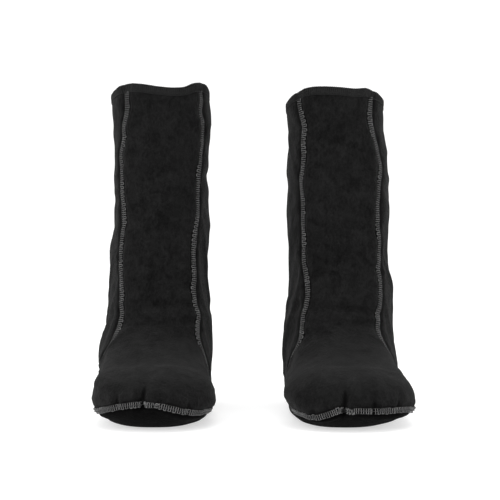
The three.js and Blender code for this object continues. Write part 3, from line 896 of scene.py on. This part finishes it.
def over_the_rim(boot, u, around):
    """Points of the edging's section: around goes from 0 at the foot of the outside over the top to 1
    at the foot of the inside. Up to RIM_CLIMB it climbs the outside, then a half ellipse crosses the top
    until RIM_CROSS."""
    wall = PANEL_THICKNESS + LAYER_GAP + LINING_THICKNESS
    down_out = np.clip(1 - around / RIM_CLIMB, 0, 1)
    down_in = np.clip((around - RIM_CROSS) / (1 - RIM_CROSS), 0, 1)
    turn = np.clip((around - RIM_CLIMB) / (RIM_CROSS - RIM_CLIMB), 0, 1) * math.pi
    on_top = (around > RIM_CLIMB) & (around < RIM_CROSS)
    over = np.where(on_top, np.sin(turn), 0.0)
    on_side = np.where(around <= RIM_CLIMB, 0.0, -wall)
    out = np.where(on_top, wall / 2 * (np.cos(turn) - 1), on_side)
    depth = RIM_TOP_DEPTH + (OVERLOCK_DEPTH - RIM_TOP_DEPTH) * np.maximum(down_out, down_in)
    s = np.where(on_top, RIM_TOP_DEPTH, depth) / STATION_LENGTH
    p = boot.skin(u, s)
    n = boot.outward(u, s)
    away = np.full(u.shape, 1e3)
    for seam in (boot.side_seam(0.08, "inner"), -boot.side_seam(0.08, "outer"), math.pi):
        turned = np.mod(u - seam + math.pi, 2 * math.pi) - math.pi
        away = np.minimum(away, np.abs(turned) * (SHAFT_WIDTH + SHAFT_DEPTH) / 4)
    lie = lie_of_the_cloth(boot, u, s, p) + seam_roll(away) * (around < 0.5)
    point = p + n * (out + lie)[..., None]
    point[..., 2] += 0.9 * over
    inward = np.where(around <= RIM_CLIMB, 1.0, np.where(around >= RIM_CROSS, -1.0, np.cos(turn)))
    up = n * inward[..., None]
    up[..., 2] += over
    return point, unit(up)


def rim_strip(boot):
    """The folded strip over the cloth's edge, a closed band that is thin at both feet."""
    rounds = np.linspace(0, 2 * math.pi, 200, endpoint=False)
    section = np.concatenate([
        np.linspace(0, RIM_CLIMB, 6), np.linspace(0.45, 0.55, 5), np.linspace(RIM_CROSS, 1, 6)])
    u, around = np.meshgrid(rounds, section, indexing="ij")
    middle, up = over_the_rim(boot, u, around)
    thick = (0.02 + 0.4 * smooth(0, 0.3, around) * (1 - smooth(0.7, 1, around)))[..., None]
    loop = np.concatenate([middle + up * thick, (middle - up * 0.3)[:, ::-1]], axis=1)
    index = np.arange(loop.shape[0] * loop.shape[1]).reshape(loop.shape[:2])
    faces = ring_quads(index, np.roll(index, -1, 0))
    return make_object(f"{boot.side}_rim_strip", loop.reshape(-1, 3), [faces], boot.mirror < 0)


def boot_rim(boot, finishes):
    """The overlocked rim: the folded strip, threads that wrap it from the outside over the top to the
    inside and back, and a row of needle stitches along each foot of it."""
    rounds = np.linspace(0, 2 * math.pi, 201)
    girth = lengths_along(boot.skin(rounds, 0.1))[-1]
    strands = []
    wraps = round(girth / WRAP)
    l = np.arange(wraps * 26) / (wraps * 26)
    for start, lean, radius in WRAPPERS:
        phase = l * wraps + start
        there = np.mod(phase, 1)
        around = 0.02 + 0.96 * np.where(there < 0.5, 2 * there, 2 - 2 * there)
        loose = 0.12 * wander(np.floor(phase), 1.0, 31 + int(10 * start))
        step = np.floor(phase) + there * 0.35 + lean * np.abs(around - 0.5) + loose * 0.3
        p, up = over_the_rim(boot, 2 * math.pi * step / wraps, around)
        ends = smooth(0, 0.3, around) * (1 - smooth(0.7, 1, around))
        fuller = 0.02 + 0.4 * ends + radius * 0.75 + 0.06 * wander(l * wraps, 0.7, 35)
        strands.append((p + up * fuller[:, None], up, radius, True))
    dashes = round(girth / DASH)
    m = np.arange(dashes * 6) / (dashes * 6)
    dip = np.abs(np.sin(math.pi * m * dashes)) ** 0.5
    for around_at in (0.03, 0.97):
        p, up = over_the_rim(boot, 2 * math.pi * m, np.full_like(m, around_at))
        strands.append((p + up * (0.1 + 0.42 * dip)[:, None], up, 0.19, True))
    threads = tubes(f"{boot.side}_rim_threads", strands, boot.mirror < 0)
    finish_piece(threads, boot, "rim_overlock", finishes["rim"])
    finish_piece(rim_strip(boot), boot, "rim_overlock", finishes["strip"])


# ---- Finishes ----


class Nodes:
    """Short ways to add shader nodes to one tree and to link them."""

    def __init__(self, tree):
        self.tree = tree

    def feed(self, socket, value):
        """Links another node's output to a socket, or sets the socket to a value."""
        if isinstance(value, bpy.types.NodeSocket):
            self.tree.links.new(value, socket)
        else:
            socket.default_value = value

    def add(self, kind, *inputs, **settings):
        """A node of one kind with its settings; each input is (socket, what it is fed)."""
        node = self.tree.nodes.new("ShaderNode" + kind)
        for key, value in settings.items():
            setattr(node, key, value)
        for socket, value in inputs:
            self.feed(node.inputs[socket], value)
        return node

    def math(self, operation, *values, clamp=False):
        """One sum of up to three values."""
        return self.add("Math", *enumerate(values), operation=operation, use_clamp=clamp).outputs[0]

    def noise(self, where, scale, detail, roughness=0.5, distortion=0.0):
        """Noise from 0 to 1."""
        return self.add("TexNoise", (0, where), ("Scale", scale), ("Detail", detail),
                        ("Roughness", roughness), ("Distortion", distortion)).outputs[0]

    def span(self, value, spans, **settings):
        """A value carried from one span to another, given as the two ends of both."""
        names = ("From Min", "From Max", "To Min", "To Max")
        return self.add("MapRange", (0, value), *zip(names, spans), **settings).outputs[0]

    def blend(self, factor, a, b, **settings):
        """Two colours blended."""
        return self.add("Mix", (0, factor), (6, a), (7, b), data_type="RGBA", **settings).outputs[2]

    def relief(self, strength, distance, height):
        """The normal of a surface that stands up by a height."""
        return self.add("Bump", ("Strength", strength), ("Distance", distance), ("Height", height)).outputs[0]


def new_group(name, floats):
    """A shader node group from a Vector and named float inputs to a Shade and a Height."""
    group = bpy.data.node_groups.new(name, "ShaderNodeTree")
    group.interface.new_socket("Vector", in_out="INPUT", socket_type="NodeSocketVector")
    for key, value in floats.items():
        socket = group.interface.new_socket(key, in_out="INPUT", socket_type="NodeSocketFloat")
        socket.default_value = value
    for key in ("Shade", "Height"):
        group.interface.new_socket(key, in_out="OUTPUT", socket_type="NodeSocketFloat")
    given, result = group.nodes.new("NodeGroupInput"), group.nodes.new("NodeGroupOutput")
    return group, Nodes(group), given.outputs, result.inputs


def nap_group():
    """Brushed nap: tufts that lie mostly down the boot, clumps of them, and fine fibres. Shade is how
    light a tuft is, Height how far it stands up."""
    group, n, given, result = new_group("brushed nap", {"Tuft": 300.0, "Streak": 0.45})
    where, tuft = given["Vector"], given["Tuft"]
    stretch = n.add("CombineXYZ", (0, 1.0), (1, 1.0), (2, given["Streak"])).outputs[0]
    laid = n.add("VectorMath", (0, where), (1, stretch), operation="MULTIPLY").outputs[0]
    tufts = n.noise(laid, tuft, 5.0, 0.62, 0.5)
    fibres = n.noise(laid, n.math("MULTIPLY", tuft, 3.4), 3.0, 0.7)
    clumps = n.noise(where, n.math("MULTIPLY", tuft, 0.22), 3.0, 0.55, 0.8)
    every = n.math("MULTIPLY_ADD", clumps, 0.8, n.math("ADD", tufts, fibres))
    n.feed(result["Shade"], n.span(every, (1.12, 1.72)))
    n.feed(result["Height"], n.math("MULTIPLY_ADD", fibres, 0.45, tufts))
    return group


def twist_group():
    """Twisted thread: a slanted stripe for each ply, from the thread's own length and turn, and a little
    fuzz. Shade is light on the plies and darker between them, painted shade for the grooves between plies."""
    group, n, given, result = new_group("twisted thread", {"Plies": 1.0})
    apart = n.add("SeparateXYZ", (0, given["Vector"])).outputs
    slant = n.math("ADD", apart[1], n.math("MULTIPLY", apart[0], given["Plies"]))
    wave = n.math("SINE", n.math("MULTIPLY", slant, 2 * math.pi))
    height = n.math("MULTIPLY_ADD", wave, 0.32, n.noise(given["Vector"], 3.0, 4.0, 0.7))
    # Painted shade: the thread's colour is darker where it lies lower, between the plies.
    n.feed(result["Shade"], n.span(height, (0.15, 0.85)))
    n.feed(result["Height"], height)
    return group


def grey(value):
    """A colour of one value."""
    return (value, value, value, 1.0)


def new_material(name):
    """A material, the short ways to its nodes and its surface shader."""
    material = bpy.data.materials.new(name)
    material.use_nodes = True
    return material, Nodes(material.node_tree), material.node_tree.nodes["Principled BSDF"].inputs


def cloth_material(group, name, dark, light, tuft, streak, depth, sheen, tint, specular, seam_shade):
    """Napped cloth: the nap's shade mixes a dark and a light colour, broad patches where the nap lies
    another way change it a little, and painted shade darkens the cloth beside a seam and in the toe gathers."""
    material, n, surface = new_material(name)
    where = n.add("TexCoord").outputs["Object"]
    nap = n.add("Group", ("Vector", where), ("Tuft", tuft), ("Streak", streak), node_tree=group).outputs
    lay = n.span(n.noise(where, 26.0, 3.0, 0.6, 1.2), (0.3, 0.7, -0.2, 0.2))
    colour = n.blend(n.math("ADD", nap["Shade"], lay, clamp=True), grey(dark), grey(light))
    # Painted shade: the cloth is painted darker beside a seam and in the toe gathers, where shade falls.
    if seam_shade:
        distance = n.add("Attribute", attribute_name="painted_shade_distance").outputs["Fac"]
        painted_shade = n.span(distance, (2.6, 6.5, 0.25, 1.0), interpolation_type="SMOOTHSTEP")
        colour = n.blend(1.0, colour, painted_shade, blend_type="MULTIPLY")
    n.feed(surface["Base Color"], colour)
    n.feed(surface["Roughness"], n.span(nap["Shade"], (0.0, 1.0, 0.98, 0.82)))
    n.feed(surface["Normal"], n.relief(1.0, depth, nap["Height"]))
    surface["Specular IOR Level"].default_value = specular
    surface["Sheen Weight"].default_value = sheen
    surface["Sheen Roughness"].default_value = 0.45
    surface["Sheen Tint"].default_value = grey(tint)
    return material


def thread_material(group, name, dark, light, plies, sheen, specular):
    """Twisted thread: light on the plies and darker between them as painted shade, with worn and clean
    lengths.
    """
    material, n, surface = new_material(name)
    thread = n.add("UVMap", uv_map="thread").outputs[0]
    twist = n.add("Group", ("Vector", thread), ("Plies", plies), node_tree=group).outputs
    worn = n.span(n.noise(n.add("TexCoord").outputs["Object"], 160.0, 3.0), (0.3, 0.7, -0.25, 0.25))
    colour = n.blend(n.math("ADD", twist["Shade"], worn, clamp=True), grey(dark), grey(light))
    tone = n.add("Attribute", attribute_name="tone").outputs["Fac"]
    n.feed(surface["Base Color"], n.blend(1.0, colour, tone, blend_type="MULTIPLY"))
    n.feed(surface["Roughness"], n.span(twist["Shade"], (0.0, 1.0, 0.8, 0.55)))
    n.feed(surface["Normal"], n.relief(0.6, 0.0001, twist["Height"]))
    surface["Specular IOR Level"].default_value = specular
    surface["Sheen Weight"].default_value = sheen
    return material


# Cloths: name, dark and light grey, how fine the tufts are and how much they stretch down the boot, how
# deep they stand, sheen and its tint, specular level, and whether painted shade darkens it beside a seam and
# in the gathers.
CLOTHS = {
    "nap": ("black brushed cloth", 0.0022, 0.0085, 420.0, 0.6, 0.0011, 0.05, 0.55, 0.05, True),
    "lining": ("charcoal fleece lining", 0.004, 0.014, 240.0, 0.9, 0.0014, 0.06, 0.6, 0.05, False),
    # The sole's cloth is black of its own, and its colours are darker still as painted shade for the boot's
    # underside.
    "sole": ("dense black sole cloth with painted shade", 0.0008, 0.0026, 420.0, 1.0, 0.0009, 0.01, 0.4, 0.028, True),
    # The rim's strip is the boot's own cloth painted darker: painted shade against the extra light on the
    # rim's top.
    "strip": ("rim edge with painted shade", 0.0014, 0.005, 500.0, 0.5, 0.0005, 0.05, 0.55, 0.05, False),
}
# Threads: name, dark and light grey, plies, sheen and specular level.
THREADS = {
    "seam": ("grey seam thread", 0.03, 0.26, 0.8, 0.05, 0.35),
    "rim": ("charcoal edging thread", 0.0018, 0.012, 0.8, 0.02, 0.2),
}


def all_finishes():
    """The boots' materials, by what they are on."""
    nap, twist = nap_group(), twist_group()
    finishes = {key: cloth_material(nap, *facts) for key, facts in CLOTHS.items()}
    finishes.update({key: thread_material(twist, *facts) for key, facts in THREADS.items()})
    return finishes


# ---- The floor, the light, the camera and the boots ----

# Soft lights: name, place, what they aim at (metres), their size and their power.
LIGHTS = (
    ("front light", (-0.75, -2.25, 0.75), (0, -0.02, 0.13), 1.4, 25.5),
    ("side light", (1.9, -0.7, 0.7), (0, 0, 0.16), 1.0, 12),
    ("left side light", (-1.9, -0.5, 0.7), (0, 0, 0.16), 1.0, 12),
    ("top light", (0.1, -0.4, 1.9), (0, 0, 0.2), 1.1, 8.5),
)
FLOOR_RINGS, FLOOR_SIDES = (0.0, 600.0, 2500.0, 6000.0), 96
FLOOR_GAP = 0.05  # of the floor under the boots, in millimetres


def pale_floor():
    """A round pale floor just under the boots. It gives off a little light, so that their shadow on it
    stays faint."""
    turn = np.linspace(0, 2 * math.pi, FLOOR_SIDES, endpoint=False)
    rings = np.array(FLOOR_RINGS)[:, None]
    points = np.stack([rings * np.cos(turn), rings * np.sin(turn), 0 * rings * turn - FLOOR_GAP], -1)
    index = np.arange(len(rings) * FLOOR_SIDES).reshape(-1, FLOOR_SIDES)
    middle = np.stack([np.zeros(FLOOR_SIDES, int), index[1], np.roll(index[1], -1)], -1)
    floor = make_object("floor", points.reshape(-1, 3), [ring_quads(index[1:-1], index[2:]), middle])
    material, n, surface = new_material("pale floor")
    grain = n.noise(n.add("TexCoord").outputs["Object"], 3.0, 4.0)
    n.feed(surface["Base Color"], n.blend(grain, grey(0.53), grey(0.57)))
    surface["Roughness"].default_value = 0.9
    surface["Emission Color"].default_value = (1, 1, 1, 1)
    surface["Emission Strength"].default_value = 0.55
    floor.data.materials.append(material)


def place_object(name, data, place):
    """A light or a camera in the scene."""
    holder = bpy.data.objects.new(name, data)
    bpy.context.collection.objects.link(holder)
    holder.location = place
    return holder


def studio():
    """The floor, a pale surround, soft light from the front, above and both sides, and the camera."""
    scene = bpy.context.scene
    scene.view_settings.view_transform = "Standard"
    world = bpy.data.worlds.new("pale surround")
    world.use_nodes = True
    surround = world.node_tree.nodes["Background"].inputs
    surround["Color"].default_value = (1.0, 1.0, 1.0, 1.0)
    surround["Strength"].default_value = 1.15
    scene.world = world
    pale_floor()
    for name, place, aim, size, power in LIGHTS:
        light = bpy.data.lights.new(name, "AREA")
        light.shape, light.size, light.energy = "SQUARE", size, power
        holder = place_object(name, light, place)
        holder.rotation_euler = (Vector(aim) - Vector(place)).to_track_quat("-Z", "Y").to_euler()
    camera = bpy.data.cameras.new("camera")
    camera.sensor_width = 36.0
    camera.lens = 93.6
    camera.clip_start = 0.05
    scene.camera = place_object("camera", camera, (0.002, -1.237, 0.156))
    scene.camera.rotation_euler = (math.pi / 2, 0, 0)


finishes = all_finishes()
for side in ("right", "left"):
    boot = Boot(side)
    settle(boot)
    boot_pieces(boot, finishes)
    boot_seams(boot, finishes)
    boot_rim(boot, finishes)
studio()

bpy.context.view_layer.update()
